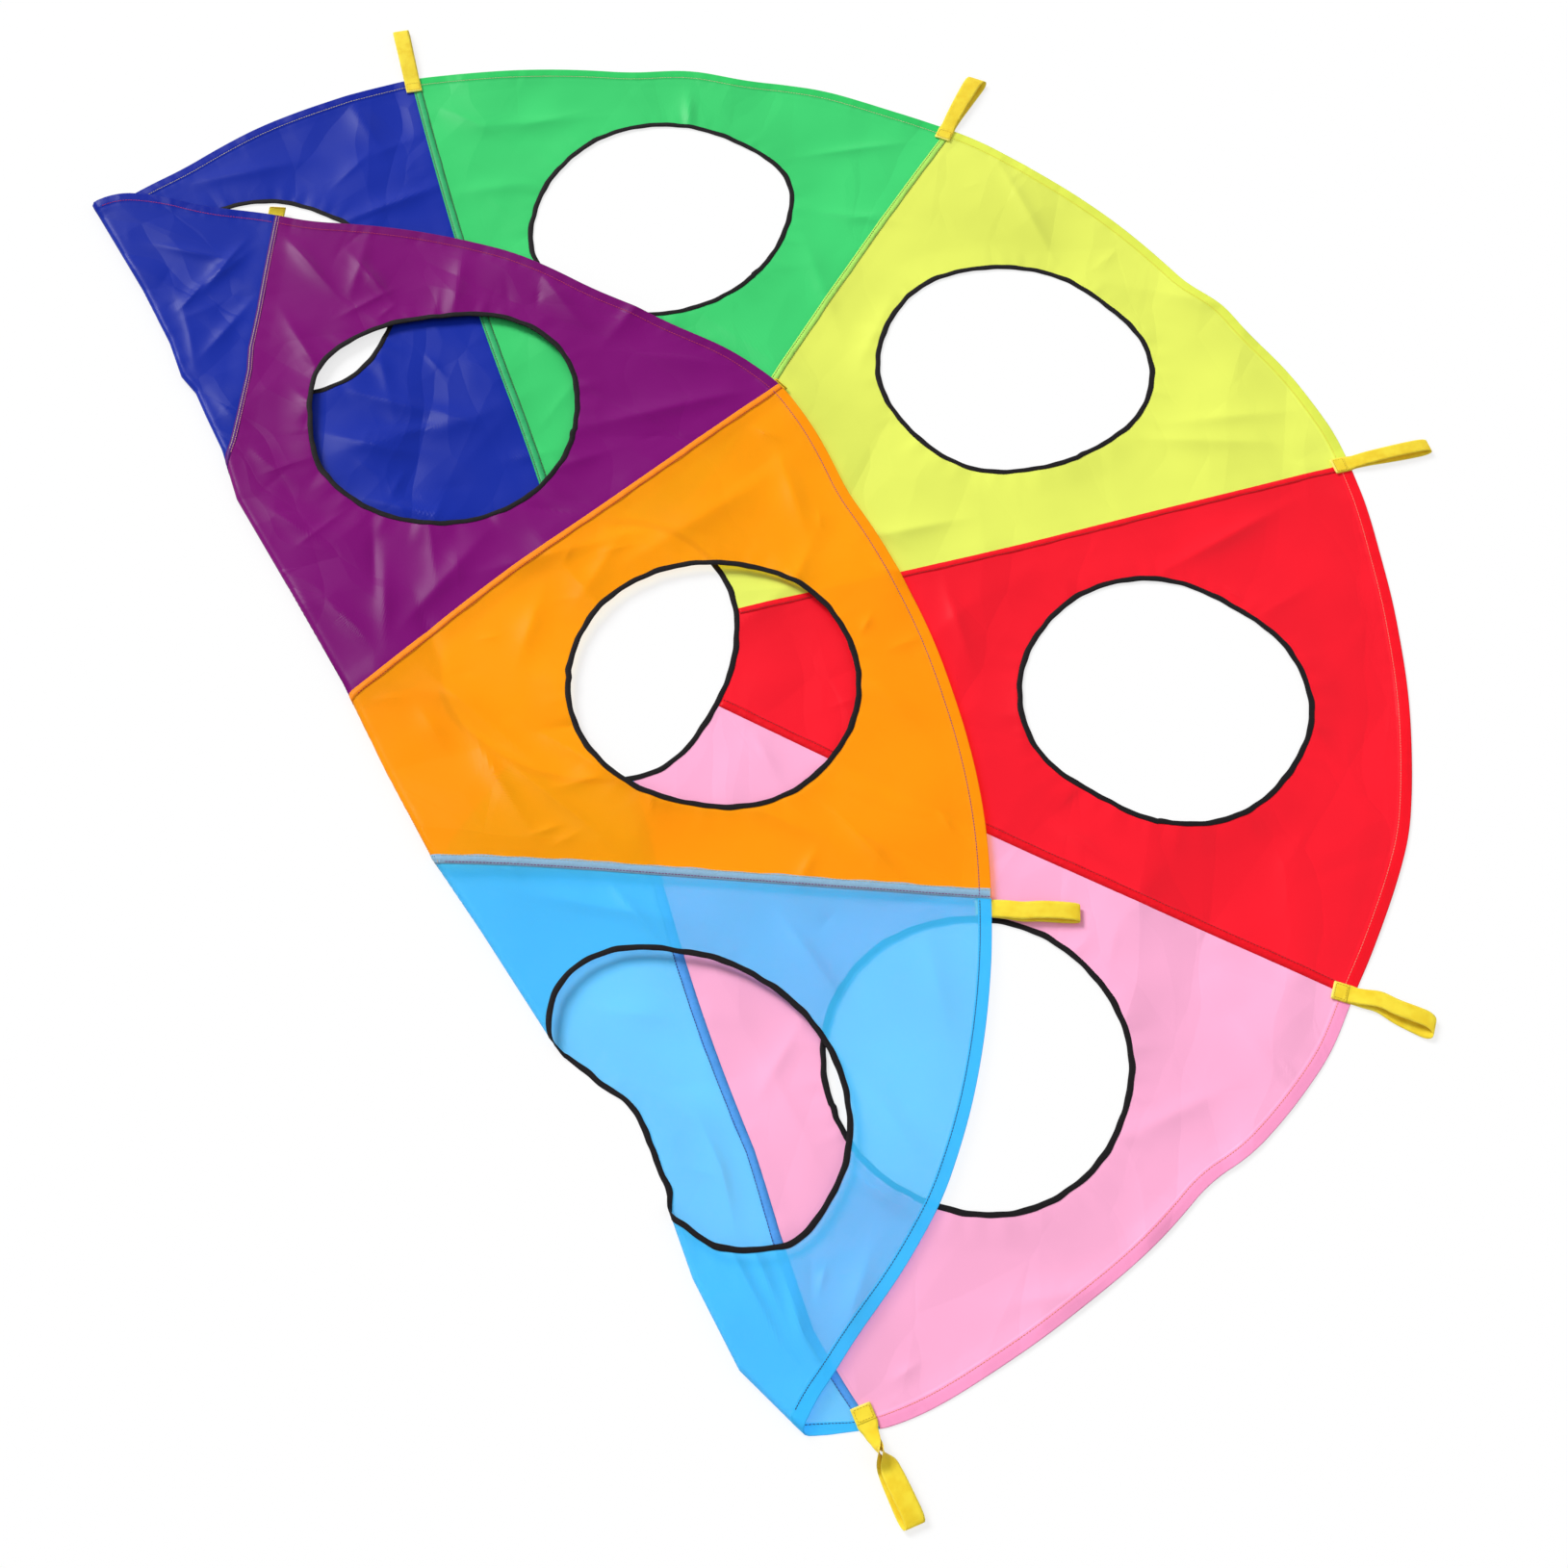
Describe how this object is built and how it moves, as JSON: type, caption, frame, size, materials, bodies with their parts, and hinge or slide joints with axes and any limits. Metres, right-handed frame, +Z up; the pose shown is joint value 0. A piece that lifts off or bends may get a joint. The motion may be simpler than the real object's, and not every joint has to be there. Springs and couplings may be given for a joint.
{
  "type": "play parachute",
  "caption": "Round play parachute of coloured cloth panels with a bound hole in each and webbing loops round its hem, laid flat and folded over once.",
  "frame": {"origin": "on the floor under the middle of the folded parachute's box", "axes": "+Z up from the floor; +Y is away from the picture's lower edge, the longer side; +X is to the picture's right, away from the fold"},
  "size_m": [1.6336, 1.8858, 0.025],
  "materials": {
    "green": "thin crinkled taffeta",
    "yellow": "thin crinkled taffeta",
    "red": "thin crinkled taffeta",
    "pink": "thin crinkled taffeta",
    "sky": "thin crinkled taffeta",
    "orange": "thin crinkled taffeta",
    "purple": "thin crinkled taffeta",
    "blue": "thin crinkled taffeta",
    "binding": "matt woven tape",
    "webbing": "matt woven webbing"
  },
  "bodies": {
    "lower_layer": {"panel_green": "green", "panel_yellow": "yellow", "panel_red": "red", "panel_pink": "pink", "panel_sky_lower": "sky", "panel_orange_lower": "orange", "panel_purple_lower": "purple", "panel_blue_lower": "blue", "binding_green": "binding", "binding_yellow": "binding", "binding_red": "binding", "binding_pink": "binding", "binding_sky_lower": "binding", "binding_blue": "binding", "binding_centre": "binding", "loop_blue_green_root": "webbing", "loop_green_yellow_root": "webbing", "loop_yellow_red_root": "webbing", "loop_red_pink_root": "webbing", "loop_pink_sky_root": "webbing"},
    "flap": {"panel_sky_flap": "sky", "panel_orange_flap": "orange", "panel_purple_flap": "purple", "panel_blue_flap": "blue", "binding_sky_flap": "binding", "binding_orange": "binding", "binding_purple": "binding", "loop_sky_orange_root": "webbing", "loop_orange_purple": "webbing", "loop_purple_blue": "webbing"},
    "blue_green_handle": {"loop_blue_green": "webbing"},
    "green_yellow_handle": {"loop_green_yellow": "webbing"},
    "yellow_red_handle": {"loop_yellow_red": "webbing"},
    "red_pink_handle": {"loop_red_pink": "webbing"},
    "pink_sky_handle": {"loop_pink_sky": "webbing"},
    "sky_orange_handle": {"loop_sky_orange": "webbing"}
  },
  "joints": [
    {"name": "fold", "type": "hinge", "parent": "lower_layer", "child": "flap", "pos_m": [-0.37075, -0.15154, 0.006], "axis": [0.5351, -0.8448, 0], "range_deg": [0, 180]},
    {"name": "blue_green_handle_lift", "type": "hinge", "parent": "lower_layer", "child": "blue_green_handle", "pos_m": [-0.4578, 0.8389, 0.0049], "axis": [0.9563, 0.2924, 0], "range_deg": [0, 165]},
    {"name": "green_yellow_handle_lift", "type": "hinge", "parent": "lower_layer", "child": "green_yellow_handle", "pos_m": [0.23782, 0.8038, 0.0049], "axis": [0.9397, -0.342, 0], "range_deg": [0, 165]},
    {"name": "yellow_red_handle_lift", "type": "hinge", "parent": "lower_layer", "child": "yellow_red_handle", "pos_m": [0.71348, 0.29576, 0.0049], "axis": [0.3173, -0.9483, 0], "range_deg": [0, 165]},
    {"name": "red_pink_handle_lift", "type": "hinge", "parent": "lower_layer", "child": "red_pink_handle", "pos_m": [0.66049, -0.38672, 0.0049], "axis": [-0.2672, -0.9636, 0], "range_deg": [0, 165]},
    {"name": "pink_sky_handle_lift", "type": "hinge", "parent": "lower_layer", "child": "pink_sky_handle", "pos_m": [0.17945, -0.843, 0.0049], "axis": [-0.9048, -0.4258, 0], "range_deg": [0, 120]},
    {"name": "sky_orange_handle_lift", "type": "hinge", "parent": "flap", "child": "sky_orange_handle", "pos_m": [0.29389, -0.31196, 0.00632], "axis": [0, -1, 0], "range_deg": [0, 60]}
  ]
}
